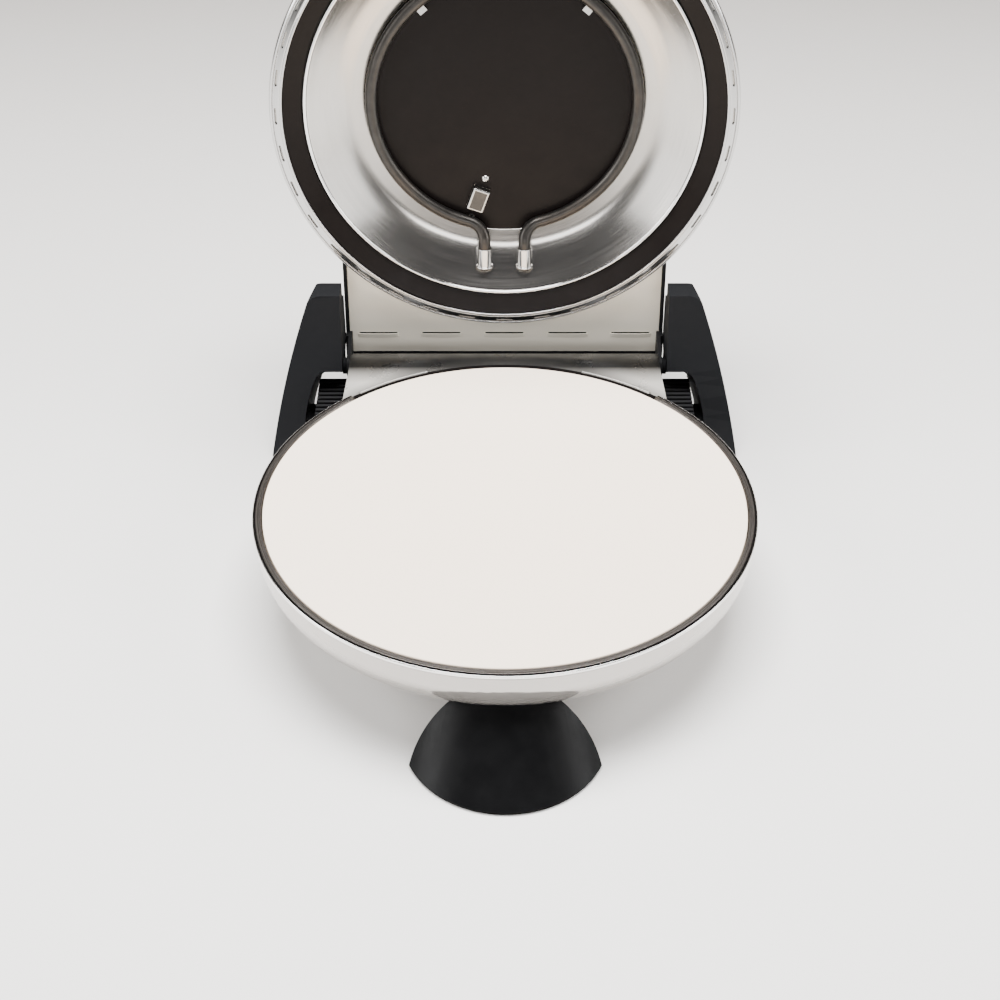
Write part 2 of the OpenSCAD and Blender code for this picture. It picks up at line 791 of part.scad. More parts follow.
module hinge_bushes() {
    color("#1b1b1d") opened() both_sides() difference() {
        union() {
            along_x(arm_x0, arm_x1, hinge_y, hinge_z, bush_r);
            along_x(arm_x0 - 0.8, arm_x0, hinge_y, hinge_z, bush_r + 1.5);
        }
        along_x(100, 120, hinge_y, hinge_z, pin_d / 2 + running_gap);
    }
}

module lid_handle() {
    low = 84;
    high = 128;
    color("#1d1e20") opened() difference() {
        union() {
            intersection() {
                fan_cone(low, high, -100, 40, 0);
                fan_sides(low, high + 0.2);
            }
            on_handle() translate([0, 0, -6]) cylinder(r = 19, h = 8);
        }
        difference() {
            fan_cone(low - 0.3, high - 3, -95, 36, 3.5);
            on_handle() translate([0, 0, -3.5]) cylinder(r = 19, h = 6);
        }
        dome_solid(0.15);
        translate([0, 0, lid_z]) cylinder(r = lid_r + 0.5, h = shell_z - lid_z + 1);
        translate([-80, -120, 0]) cube([160, 100, 200]);
        on_handle() translate([0, 0, -10]) cylinder(r = 3 + running_gap, h = 20);
        on_handle() translate([0, -25, -10]) cylinder(r = 4, h = 20);
    }
}

module pilot_lamp() {
    color("#d8571e") opened() on_handle() translate([0, -25, 0]) {
        translate([0, 0, -9]) cylinder(r = 3.9, h = 9.6);
        intersection() {
            translate([0, 0, -1.5]) sphere(r = 4.5, $fn = 40);
            cylinder(r = 3.9, h = 4);
        }
    }
}

module thermostat_body() {
    color("#cfcabb") opened() on_handle() difference() {
        union() {
            translate([0, 0, -22]) cylinder(r = 11, h = 14);
            translate([-12, -3, -19]) cube([24, 6, 10]);
        }
        translate([0, 0, -15]) cylinder(r = 3 + running_gap, h = 12);
    }
}

module thermostat_shaft() {
    color("#c9c9c9") opened() on_handle() translate([0, 0, -14.5]) cylinder(r = 3, h = 28.5);
}

module thermostat_knob() {
    flutes = 24;
    color("#1a1a1c") opened() on_handle() difference() {
        union() {
            translate([0, 0, 2.6]) cylinder(r = knob_r + 1.5, h = 2.4);
            translate([0, 0, 5]) cylinder(r = knob_r - 1, h = 11);
            translate([0, 0, 16]) cylinder(r = knob_r - 3, h = 1);
        }
        for (i = [0:flutes - 1]) rotate([0, 0, i * 360 / flutes])
            translate([knob_r - 0.4, 0, 6]) cylinder(r = 1.6, h = 12, $fn = 24);
        cylinder(r = 3, h = 14);
        translate([-0.8, knob_r - 9, 16.4]) cube([1.6, 5, 2]);
    }
}

base_bowl();
rim_ring();
baking_stone();
lower_reflector();
lower_heater();
lower_heater_ferrules();
lower_heater_clips();
lower_insulation();
bottom_cover();
bottom_screws();
front_foot();
front_foot_pad();
rear_foot_pads();
left_tower();
right_tower();
tower_screws();
rear_deck();
rear_housing();
housing_base_plate();
housing_screws();
terminal_block();
cord_gland();
hinge_pins();
pin_clips();
lid_shell();
lid_trim_ring();
lid_black_ring();
lid_reflector();
center_plate();
upper_heater();
upper_heater_ferrules();
upper_heater_clips();
lid_insulation();
limit_thermostat_cap();
limit_thermostat_body();
limit_thermostat_screws();
hinge_cover_plate();
lid_rear_cover();
rear_cover_screws();
left_hinge_arm();
right_hinge_arm();
hinge_bushes();
lid_handle();
pilot_lamp();
thermostat_body();
thermostat_shaft();
thermostat_knob();
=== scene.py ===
import math
import bpy
import bmesh
from mathutils import Matrix, Vector


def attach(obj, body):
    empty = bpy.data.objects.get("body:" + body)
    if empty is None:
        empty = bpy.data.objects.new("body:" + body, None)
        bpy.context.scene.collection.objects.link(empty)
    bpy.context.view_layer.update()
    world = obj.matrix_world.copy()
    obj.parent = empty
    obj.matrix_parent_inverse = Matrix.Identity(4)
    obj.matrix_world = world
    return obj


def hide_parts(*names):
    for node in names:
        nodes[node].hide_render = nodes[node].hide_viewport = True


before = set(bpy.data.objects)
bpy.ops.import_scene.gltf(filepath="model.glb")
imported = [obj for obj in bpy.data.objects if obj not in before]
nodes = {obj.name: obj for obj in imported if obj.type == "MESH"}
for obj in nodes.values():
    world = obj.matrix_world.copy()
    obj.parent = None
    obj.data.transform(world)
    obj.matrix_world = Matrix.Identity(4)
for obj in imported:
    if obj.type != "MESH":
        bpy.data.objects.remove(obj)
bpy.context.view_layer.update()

# ------------------------------------------------------------------ frames, in millimetres
MM = 0.001
ORIGIN_Y = 53.2
HINGE_Y, HINGE_Z, OPEN_DEG = 182.0, 55.0, 94.0
BASE = Matrix.Translation((0, -ORIGIN_Y * MM, 0))
LID = (
    Matrix.Translation((0, (HINGE_Y - ORIGIN_Y) * MM, HINGE_Z * MM))
    @ Matrix.Rotation(math.radians(-OPEN_DEG), 4, "X")
    @ Matrix.Translation((0, -HINGE_Y * MM, -HINGE_Z * MM))
)


# ------------------------------------------------------------------ material tools
def srgb(r, g, b):
    """Linear colour from sRGB values of 0 to 255."""
    return tuple(((c / 255) / 12.92 if c <= 10 else ((c / 255 + 0.055) / 1.055) ** 2.4) for c in (r, g, b))


class Surface:
    """A procedural material: broad blotches, fine grain, streaks, specks, wear and a bump."""

    def __init__(self, name):
        self.m = bpy.data.materials.new(name)
        self.m.use_nodes = True
        self.nt = self.m.node_tree
        self.nt.nodes.clear()
        self.out = self.node("ShaderNodeOutputMaterial")
        self.b = self.node("ShaderNodeBsdfPrincipled")
        self.nt.links.new(self.b.outputs[0], self.out.inputs[0])
        self.tc = self.node("ShaderNodeTexCoord")
        self.colour = None
        self.rough = None
        self.normal = None

    def node(self, kind, **values):
        """A new shader node; values go to its inputs or else to its settings."""
        n = self.nt.nodes.new(kind)
        for k, v in values.items():
            if k in n.inputs:
                n.inputs[k].default_value = v
            else:
                setattr(n, k, v)
        return n

    def link(self, a, b):
        self.nt.links.new(a, b)

    def axis(self, index):
        """One coordinate of the point being shaded, in metres."""
        sep = self.node("ShaderNodeSeparateXYZ")
        self.link(self.tc.outputs["Object"], sep.inputs[0])
        return sep.outputs[index]

    def polar(self, radial, around, up, centre_y=0.0):
        """Coordinates that run round an upright axis, so that noise makes rings instead of spots."""
        sep = self.node("ShaderNodeSeparateXYZ")
        off = self.node("ShaderNodeVectorMath", operation="ADD")
        off.inputs[1].default_value = (0, -centre_y, 0)
        self.link(self.tc.outputs["Object"], off.inputs[0])
        self.link(off.outputs[0], sep.inputs[0])
        ang = self.node("ShaderNodeMath", operation="ARCTAN2")
        self.link(sep.outputs[1], ang.inputs[0])
        self.link(sep.outputs[0], ang.inputs[1])
        flat = self.node("ShaderNodeCombineXYZ")
        self.link(sep.outputs[0], flat.inputs[0])
        self.link(sep.outputs[1], flat.inputs[1])
        ln = self.node("ShaderNodeVectorMath", operation="LENGTH")
        self.link(flat.outputs[0], ln.inputs[0])
        parts = []
        for src, k in ((ln.outputs[1], radial), (ang.outputs[0], around), (sep.outputs[2], up)):
            mul = self.node("ShaderNodeMath", operation="MULTIPLY")
            mul.inputs[1].default_value = k
            self.link(src, mul.inputs[0])
            parts.append(mul.outputs[0])
        comb = self.node("ShaderNodeCombineXYZ")
        for i, p in enumerate(parts):
            self.link(p, comb.inputs[i])
        return comb.outputs[0]

    def noise(self, scale, detail=3.0, rough=0.55, vector=None):
        """Noise; scale is in cycles a metre unless another vector is given."""
        n = self.node("ShaderNodeTexNoise")
        n.inputs["Scale"].default_value = scale
        n.inputs["Detail"].default_value = detail
        n.inputs["Roughness"].default_value = rough
        self.link(vector or self.tc.outputs["Object"], n.inputs["Vector"])
        return n.outputs[0]

    def ramp(self, fac, low, high, a=0.0, b=1.0):
        """Maps fac from the range low to high onto a to b, and holds it there beyond the ends."""
        r = self.node("ShaderNodeMapRange")
        r.inputs[1].default_value = low
        r.inputs[2].default_value = high
        r.inputs[3].default_value = a
        r.inputs[4].default_value = b
        self.link(fac, r.inputs[0])
        return r.outputs[0]

    def base(self, light, dark, fac):
        """Colour that runs from dark to light with fac."""
        mix = self.node("ShaderNodeMix", data_type="RGBA")
        mix.inputs[6].default_value = (*dark, 1)
        mix.inputs[7].default_value = (*light, 1)
        self.link(fac, mix.inputs[0])
        self.colour = mix.outputs[2]

    def tint(self, fac, colour):
        """Lays a second colour over the first where fac is high."""
        mix = self.node("ShaderNodeMix", data_type="RGBA")
        mix.inputs[7].default_value = (*colour, 1)
        self.link(self.colour, mix.inputs[6])
        self.link(fac, mix.inputs[0])
        self.colour = mix.outputs[2]

    def bump(self, height, strength, distance):
        """Adds a bump to those that are there already."""
        n = self.node("ShaderNodeBump")
        n.inputs["Strength"].default_value = strength
        n.inputs["Distance"].default_value = distance
        self.link(height, n.inputs["Height"])
        if self.normal:
            self.link(self.normal, n.inputs["Normal"])
        self.normal = n.outputs[0]

    def edges(self, low=0.505, high=0.53):
        """High on convex edges, where paint and plastic wear."""
        g = self.node("ShaderNodeNewGeometry")
        return self.ramp(g.outputs["Pointiness"], low, high)

    def times(self, a, b):
        mul = self.node("ShaderNodeMath", operation="MULTIPLY")
        self.link(a, mul.inputs[0])
        if isinstance(b, float):
            mul.inputs[1].default_value = b
        else:
            self.link(b, mul.inputs[1])
        return mul.outputs[0]

    def done(self, **values):
        """Joins what was built to the shader and sets its other inputs."""
        if self.colour:
            self.link(self.colour, self.b.inputs["Base Color"])
        if self.rough:
            self.link(self.rough, self.b.inputs["Roughness"])
        if self.normal:
            self.link(self.normal, self.b.inputs["Normal"])
        for k, v in values.items():
            self.b.inputs[k.replace("_", " ")].default_value = v
        return self.m


# ------------------------------------------------------------------ materials
# depths where the deck's painted shade starts and is full, and radii of the painted shade by the stone
PAINTED_SHADE_START_Y, PAINTED_SHADE_FULL_Y = 138, 158
SHADE_OUTER_R, SHADE_INNER_R = 0.170, 0.1585


def stone_material():
    """Fired cordierite: pale and matt, with fine grain and small pores."""
    s = Surface("baking_stone")
    broad = s.noise(14, 4)
    fine = s.noise(900, 3, 0.7)
    s.base(srgb(253, 236, 217), srgb(250, 232, 212), broad)
    s.tint(s.ramp(fine, 0.60, 0.80, 0, 0.25), srgb(226, 216, 204))
    pores = s.node("ShaderNodeTexVoronoi", feature="F1")
    pores.inputs["Scale"].default_value = 420
    s.link(s.tc.outputs["Object"], pores.inputs["Vector"])
    s.tint(s.ramp(pores.outputs[0], 0.16, 0.08, 0, 0.30), srgb(190, 182, 172))
    s.rough = s.ramp(fine, 0.3, 0.7, 0.74, 0.92)
    s.bump(fine, 0.25, 0.0003)
    s.bump(s.noise(60, 3), 0.12, 0.0006)
    return s.done(Specular_IOR_Level=0.35)


def pearl_paint(name, light, dark, metallic, rough, coat=0.5, dark_rear=None):
    """Polished metallic cream: flake, orange peel and a clear coat.

    dark_rear gives the two depths between which painted shade turns it nearly black towards the rear.
    Such a part also gets painted shade where it meets the stone.
    """
    s = Surface(name)
    broad = s.noise(9, 2)
    flake = s.noise(2600, 1, 0.5)
    s.base(light, dark, broad)
    s.tint(s.ramp(flake, 0.60, 0.72, 0, 0.25), tuple(min(1.0, c * 1.15) for c in light))
    s.tint(s.ramp(s.noise(38, 4, 0.6), 0.62, 0.80, 0, 0.08), tuple(c * 0.8 for c in dark))
    s.rough = s.ramp(s.noise(45, 4), 0.3, 0.7, rough * 0.8, rough * 1.3)
    s.bump(s.noise(240, 2), 0.02, 0.0003)
    if dark_rear:
        # painted shade: the part turns nearly black towards its rear
        s.tint(s.ramp(s.axis(1), *dark_rear), (0.006, 0.0058, 0.0056))
        # painted shade in a band where the part meets the stone
        ring = s.node("ShaderNodeSeparateXYZ")
        s.link(s.polar(1.0, 0.0, 0.0, -ORIGIN_Y * MM), ring.inputs[0])
        s.tint(s.ramp(ring.outputs[0], SHADE_OUTER_R, SHADE_INNER_R, 0, 0.7), (0.05, 0.048, 0.045))
    return s.done(Metallic=metallic, Coat_Weight=coat, Coat_Roughness=0.04, Coat_IOR=1.5)


def spun_metal(name, light, dark, rough_low, rough_high, radial=2600, around=2.2, up=2600,
               stain=None, stain_amount=0.0, strength=0.10):
    """Metal with fine lines round its axis."""
    s = Surface(name)
    lines = s.noise(1.0, 5, 0.75, s.polar(radial, around, up))
    s.base(light, dark, s.ramp(lines, 0.30, 0.70))
    smudge = s.noise(22, 5, 0.65)
    if stain:
        s.tint(s.ramp(smudge, 0.48, 0.75, 0, stain_amount), stain)
    s.rough = s.ramp(lines, 0.3, 0.7, rough_low, rough_high)
    s.bump(lines, strength, 0.00012)
    s.bump(s.noise(30, 2), 0.02, 0.001)
    return s.done(Metallic=1.0)


def black_plastic(name, light, dark, rough_low, rough_high, grain=1500, wear=0.06, specular=0.16):
    """Moulded black plastic: fine grain, faint smears and paler edges."""
    s = Surface(name)
    fine = s.noise(grain, 3, 0.6)
    s.base(light, dark, s.noise(18, 4))
    s.tint(s.ramp(s.noise(90, 5, 0.7), 0.66, 0.80, 0, 0.04), srgb(52, 52, 52))
    s.tint(s.times(s.edges(), wear), srgb(90, 90, 92))
    s.rough = s.ramp(s.noise(70, 4), 0.3, 0.7, rough_low, rough_high)
    s.bump(fine, 0.22, 0.00025)
    return s.done(Specular_IOR_Level=specular)


def enamel(name, light, dark):
    """Dark speckled enamel with a low sheen."""
    s = Surface(name)
    s.base(light, dark, s.noise(24, 4))
    s.tint(s.ramp(s.noise(500, 3, 0.7), 0.66, 0.78, 0, 0.20), srgb(60, 50, 46))
    s.rough = s.ramp(s.noise(50, 4), 0.3, 0.7, 0.30, 0.44)
    s.bump(s.noise(700, 2), 0.08, 0.0003)
    return s.done(Specular_IOR_Level=0.10)


def heater_material():
    """Heater sheath: oxidised steel with brown stains and bright specks."""
    s = Surface("heater_sheath")
    s.base((0.066, 0.061, 0.056), (0.028, 0.026, 0.024), s.noise(120, 5, 0.7))
    s.tint(s.ramp(s.noise(30, 4), 0.52, 0.75, 0, 0.35), (0.075, 0.058, 0.046))
    s.tint(s.ramp(s.noise(1600, 2), 0.66, 0.80, 0, 0.3), (0.22, 0.21, 0.20))
    s.rough = s.ramp(s.noise(200, 4), 0.3, 0.7, 0.28, 0.44)
    s.bump(s.noise(900, 3), 0.15, 0.0002)
    return s.done(Metallic=0.85)


def plain_metal(name, light, dark, low, high, scale=300):
    """Bare or plated metal; low and high are the ends of its roughness."""
    s = Surface(name)
    s.base(light, dark, s.noise(scale, 4))
    s.tint(s.ramp(s.noise(60, 4), 0.58, 0.78, 0, 0.25), srgb(120, 112, 100))
    s.rough = s.ramp(s.noise(scale * 1.7, 3), 0.3, 0.7, low, high)
    s.bump(s.noise(scale * 3, 2), 0.05, 0.0002)
    return s.done(Metallic=1.0)


def soft_matter(name, light, dark, scale, rough=0.9, strength=0.4, specular=0.5):
    """Rubber, wool, ceramic or lens: blotches of two tones, and a bump as strong as strength says."""
    s = Surface(name)
    s.base(light, dark, s.noise(scale, 5, 0.7))
    s.tint(s.ramp(s.noise(scale * 6, 3), 0.6, 0.8, 0, 0.3), dark)
    s.rough = s.ramp(s.noise(scale * 2, 3), 0.3, 0.7, rough - 0.12, rough)
    s.bump(s.noise(scale * 4, 4), strength, 0.0005)
    return s.done(Specular_IOR_Level=specular)


STONE = stone_material()
SHELL = pearl_paint("shell_paint", (0.54, 0.505, 0.47), (0.49, 0.455, 0.42), 0.66, 0.09)
DECK = pearl_paint("deck_paint", (0.70, 0.67, 0.62), (0.66, 0.63, 0.58), 0.55, 0.30, 0.1,
                   ((PAINTED_SHADE_START_Y - ORIGIN_Y) * MM, (PAINTED_SHADE_FULL_Y - ORIGIN_Y) * MM))
PLATE = pearl_paint("plate_paint", (0.93, 0.86, 0.73), (0.89, 0.82, 0.69), 0.15, 0.35)
RIM = spun_metal("rim_steel", (0.22, 0.20, 0.185), (0.13, 0.117, 0.108), 0.22, 0.32, strength=0.06)
TRIM = spun_metal("trim_steel", (0.60, 0.59, 0.58), (0.48, 0.475, 0.47), 0.12, 0.20, strength=0.03)
DISH = spun_metal("reflector_metal", (0.54, 0.515, 0.485), (0.46, 0.44, 0.41), 0.17, 0.24, radial=900, up=900,
                  stain=srgb(150, 128, 104), stain_amount=0.12, strength=0.03)
BEAD = plain_metal("bead_metal", (0.92, 0.91, 0.90), (0.84, 0.83, 0.81), 0.10, 0.18)
ENAMEL = enamel("brown_enamel", (0.0085, 0.0062, 0.0055), (0.0055, 0.0040, 0.0036))
BLACK = black_plastic("black_plastic", (0.0080, 0.0083, 0.0092), (0.0058, 0.0061, 0.0070), 0.52, 0.64,
                      wear=0.05, specular=0.03)
FOOT = black_plastic("foot_plastic", (0.0016, 0.0016, 0.0018), (0.0010, 0.0010, 0.0012), 0.30, 0.42,
                     wear=0.03, specular=0.10)
HOUSING = black_plastic("housing_plastic", (0.0062, 0.0062, 0.0067), (0.0052, 0.0052, 0.0056), 0.46, 0.56,
                        wear=0.05, specular=0.08)
KNOB = black_plastic("knob_plastic", (0.010, 0.010, 0.011), (0.006, 0.006, 0.007), 0.20, 0.32, grain=2600)
HEATER = heater_material()
CHROME = plain_metal("ferrule_chrome", (0.64, 0.63, 0.62), (0.52, 0.51, 0.50), 0.05, 0.11)
STEEL = plain_metal("screw_steel", (0.78, 0.76, 0.72), (0.58, 0.56, 0.52), 0.20, 0.34)
CAP = plain_metal("cap_metal", (0.56, 0.55, 0.53), (0.44, 0.43, 0.41), 0.16, 0.28)
CAP_FACE = plain_metal("cap_face_metal", (0.085, 0.082, 0.079), (0.050, 0.048, 0.046), 0.30, 0.44, 700)
COVER = plain_metal("cover_steel", (0.48, 0.48, 0.49), (0.36, 0.36, 0.37), 0.35, 0.5)
RUBBER = soft_matter("foot_rubber", (0.0045, 0.0036, 0.0033), (0.0028, 0.0022, 0.0021), 300, 0.9, 0.3, 0.04)
WOOL = soft_matter("mineral_wool", srgb(226, 216, 190), srgb(190, 176, 148), 260, 0.98, 0.9)
CERAMIC = soft_matter("thermostat_ceramic", srgb(236, 230, 220), srgb(220, 212, 198), 400, 0.6, 0.15)
TERMINAL = soft_matter("terminal_plastic", srgb(232, 228, 218), srgb(214, 208, 196), 200, 0.55, 0.1)
LAMP = soft_matter("lamp_lens", srgb(214, 88, 34), srgb(180, 62, 20), 150, 0.2, 0.05)

CAD_LOOK = (
    (SHELL, ("base_bowl", "lid_shell")),
    (DECK, ("rear_deck",)),
    (PLATE, ("hinge_cover_plate",)),
    (STONE, ("baking_stone",)),
    (RIM, ("rim_ring",)),
    (TRIM, ("lid_trim_ring",)),
    (DISH, ("lid_reflector",)),
    # dark enamel on lower_reflector also serves as painted shade in the gap behind the stone
    (ENAMEL, ("lower_reflector", "lid_black_ring", "center_plate")),
    (HEATER, ("lower_heater", "upper_heater")),
    (CHROME, ("lower_heater_ferrules", "upper_heater_ferrules")),
    (CAP, ("lower_heater_clips", "upper_heater_clips", "limit_thermostat_cap", "pin_clips")),
    (STEEL, ("bottom_screws", "tower_screws", "housing_screws", "rear_cover_screws",
             "limit_thermostat_screws", "hinge_pins", "thermostat_shaft")),
    (COVER, ("bottom_cover",)),
    (BLACK, ("left_tower", "right_tower")),
    (FOOT, ("front_foot", "lid_handle")),
    (HOUSING, ("rear_housing", "housing_base_plate", "lid_rear_cover", "left_hinge_arm",
               "right_hinge_arm", "hinge_bushes")),
    (KNOB, ("thermostat_knob",)),
    (RUBBER, ("front_foot_pad", "rear_foot_pads", "cord_gland")),
    (WOOL, ("lower_insulation", "lid_insulation")),
    (CERAMIC, ("limit_thermostat_body",)),
    (TERMINAL, ("terminal_block", "thermostat_body")),
    (LAMP, ("pilot_lamp",)),
)

for look, names in CAD_LOOK:
    for name in names:
        nodes[name].data.materials.clear()
        nodes[name].data.materials.append(look)


# ------------------------------------------------------------------ mesh tools, in millimetres
WELD_GAP = 0.00002


def add_piece(name, mesh, matrix, body, look, hides=()):
    """Links a new piece, lets it ride on its body and hides the CAD nodes that it stands for."""
    ob = bpy.data.objects.new(name, mesh)
    bpy.context.scene.collection.objects.link(ob)
    ob.matrix_world = matrix
    mesh.materials.append(look)
    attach(ob, body)
    if hides:
        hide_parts(*hides)
    return ob


def even_normals(ob):
    """Lets the large faces set the shading, so that flats stay flat beside small fillets."""
    wn = ob.modifiers.new("even_normals", "WEIGHTED_NORMAL")
    wn.keep_sharp = True
    wn.weight = 80


def make_mesh(name, verts, faces, smooth=True):
    """A mesh from points in millimetres, with its normals outward."""
    me = bpy.data.meshes.new(name)
    bm = bmesh.new()
    vs = [bm.verts.new((x * MM, y * MM, z * MM)) for x, y, z in verts]
    for f in faces:
        bm.faces.new([vs[i] for i in f])
    bmesh.ops.recalc_face_normals(bm, faces=bm.faces)
    for f in bm.faces:
        f.smooth = smooth
    bm.to_mesh(me)
    bm.free()
    return me


def rounded(corners, steps=5):
    """Closed outline with its corners rounded: corners are (radius, height, fillet)."""
    out = []
    n = len(corners)
    for i, (r, z, f) in enumerate(corners):
        p = Vector((r, z))
        a = Vector(corners[i - 1][:2]) - p
        b = Vector(corners[(i + 1) % n][:2]) - p
        reach = min(f, a.length * 0.48, b.length * 0.48)
        if reach <= 0:
            out.append((r, z))
            continue
        start, end = p + a.normalized() * reach, p + b.normalized() * reach
        for k in range(steps + 1):
            t = k / steps
            q = start * (1 - t) ** 2 + p * 2 * t * (1 - t) + end * t ** 2
            out.append((q.x, q.y))
    return out


def lathe(name, outline, matrix, body, look, hides=(), half_gap=0.0, steps=288):
    """Turns a closed outline of (radius, height) about Z, open by half_gap degrees each side of the rear."""
    whole = half_gap == 0
    count = steps if whole else steps + 1
    first = math.radians(90 + half_gap)
    span = math.radians(360 - 2 * half_gap)
    verts, faces = [], []
    n = len(outline)
    for i in range(count):
        a = first + span * i / steps
        verts += [(r * math.cos(a), r * math.sin(a), z) for r, z in outline]
    for i in range(steps):
        j = (i + 1) % count
        for k in range(n):
            m = (k + 1) % n
            faces.append((i * n + k, i * n + m, j * n + m, j * n + k))
    if not whole:
        faces.append(tuple(range(n)))
        faces.append(tuple((count - 1) * n + k for k in reversed(range(n))))
    ob = add_piece(name, make_mesh(name, verts, faces), matrix, body, look, hides)
    even_normals(ob)
    return ob


def tube(name, points, radius, matrix, body, look, hides=()):
    """A round tube with capped ends along the points."""
    cu = bpy.data.curves.new(name, "CURVE")
    cu.dimensions = "3D"
    cu.bevel_depth = radius * MM
    cu.bevel_resolution = 8
    cu.use_fill_caps = True
    sp = cu.splines.new("POLY")
    sp.points.add(len(points) - 1)
    for p, q in zip(sp.points, points):
        p.co = (q[0] * MM, q[1] * MM, q[2] * MM, 1)
    sp.use_smooth = True
    return add_piece(name, cu, matrix, body, look, hides)


def solid_box(name, size, bevel, matrix, body, look, hides=()):
    """A pressed box with rounded edges, centred on its matrix."""
    bm = bmesh.new()
    bmesh.ops.create_cube(bm, size=1.0)
    for v in bm.verts:
        v.co = Vector((v.co.x * size[0], v.co.y * size[1], v.co.z * size[2])) * MM
    bmesh.ops.bevel(bm, geom=list(bm.edges), offset=bevel * MM, segments=4, affect="EDGES", profile=0.5)
    for f in bm.faces:
        f.smooth = True
    me = bpy.data.meshes.new(name)
    bm.to_mesh(me)
    bm.free()
    ob = add_piece(name, me, matrix, body, look, hides)
    even_normals(ob)
    return ob


def shift(x, y, z):
    """A move in millimetres."""
    return Matrix.Translation((x * MM, y * MM, z * MM))


def soften(node, width):
    """Rounds the sharp edges of a moulded CAD part a little."""
    ob = nodes[node]
    weld = ob.modifiers.new("weld", "WELD")
    weld.merge_threshold = WELD_GAP
    bev = ob.modifiers.new("edge_round", "BEVEL")
    bev.width = width * MM
    bev.segments = 3
    bev.limit_method = "ANGLE"
    bev.angle_limit = math.radians(35)
    bev.use_clamp_overlap = True
    even_normals(ob)
    for f in ob.data.polygons:
        f.use_smooth = True


def even_shell(node):
    """Shades a spun CAD shell evenly across its pole."""
    ob = nodes[node]
    weld = ob.modifiers.new("weld", "WELD")
    weld.merge_threshold = WELD_GAP
    split = ob.modifiers.new("split", "EDGE_SPLIT")
    split.split_angle = math.radians(30)
    split.use_edge_sharp = False
    even_normals(ob)


# ------------------------------------------------------------------ base pieces
STONE_R, STONE_TOP, STONE_T = 154.5, 72.0, 12.0
RIM_IN, RIM_OUT = 155.2, 161.0
RIM_GROOVE_R, RIM_GROOVE_HALF = 159.55, 0.58
REAR_GAP_HALF, RIM_MID_R = 105, 158
RIM_HALF_GAP = math.degrees(math.asin(REAR_GAP_HALF / RIM_MID_R))
DECK_Z, DECK_HALF_ARC = 70.0, 41.4


def baking_stone():
    """A flat disc with its top and bottom edges eased."""
    outline = rounded([
        (0.01, STONE_TOP - STONE_T, 0), (STONE_R, STONE_TOP - STONE_T, 1.0), (STONE_R, STONE_TOP, 1.1),
        (0.01, STONE_TOP, 0)])
    lathe("baking_stone_disc", outline, BASE, "base", STONE, ("baking_stone",))


def rim():
    """The rim's dark flat top and its bright rolled edge, both open at the rear."""
    band = rounded([
        (RIM_IN, 60.2, 0.2), (RIM_IN + 1.2, 60.2, 0.2), (RIM_IN + 1.2, 70.6, 0.6), (160.1, 70.3, 0.3),
        (160.1, 71.0, 0.1), (159.0, 71.0, 0.1), (158.9, 71.9, 0.15), (155.6, 71.9, 0.2),
        (RIM_IN, 71.6, 0.15)])
    lathe("rim_band", band, BASE, "base", RIM, ("rim_ring",), RIM_HALF_GAP)
    roll = rounded([
        (160.15, 69.1, 0.1), (RIM_OUT, 69.3, 0.3), (RIM_OUT, 71.1, 0.5), (160.6, 71.6, 0.3),
        (160.15, 71.4, 0.15), (160.1, 70.8, 0.1)])
    lathe("rim_roll", roll, BASE, "base", BEAD, (), RIM_HALF_GAP)


def rim_groove_shade():
    """The black line between the rim's top and its rolled edge: a black tube that paints shade into the rim's
    groove.
    """
    steps = 240
    line = []
    for i in range(steps + 1):
        a = math.radians(90 + RIM_HALF_GAP + (360 - 2 * RIM_HALF_GAP) * i / steps)
        line.append((RIM_GROOVE_R * math.cos(a), RIM_GROOVE_R * math.sin(a), 71.4))
    tube("rim_groove_shade", line, RIM_GROOVE_HALF, BASE, "base", RUBBER)


def deck_gap_shade_strip():
    """A black strip along the deck's round front edge, behind the stone: painted shade for the gap there."""
    under, over, top = DECK_Z - 0.6, DECK_Z + 0.05, DECK_Z + 0.55
    outline = rounded([
        (156.3, under, 0.2), (158.3, under, 0.1), (158.4, over, 0.05), (160.0, over, 0.1),
        (159.8, top, 0.3), (156.5, top, 0.3)])
    behind = BASE @ Matrix.Rotation(math.pi, 4, "Z")
    lathe("deck_gap_shade_strip", outline, behind, "base", RUBBER, (), 180 - DECK_HALF_ARC)


baking_stone()
rim()
deck_gap_shade_strip()
rim_groove_shade()

EDGE_ROUNDS = (("left_tower", 3.0), ("right_tower", 3.0), ("front_foot", 0.5), ("left_hinge_arm", 0.6),
               ("right_hinge_arm", 0.6), ("rear_housing", 0.6), ("lid_rear_cover", 1.2))
for moulded, width in EDGE_ROUNDS:
    soften(moulded, width)

for shell in ("lid_shell", "base_bowl", "rear_deck", "lid_handle"):
    even_shell(shell)

# ------------------------------------------------------------------ lid pieces, drawn closed
LID_Z = 75.0
BEAD_R, BEAD_Z, BEAD_HALF = 136.2, 81.8, 1.35
TROUGH_R, TROUGH_Z = 113.6, 97.6
CENTRE_R, CENTRE_Z = 99.5, 103.5
VENTS, VENT_R, VENT_L, VENT_W = 36, 155.4, 12.0, 1.7


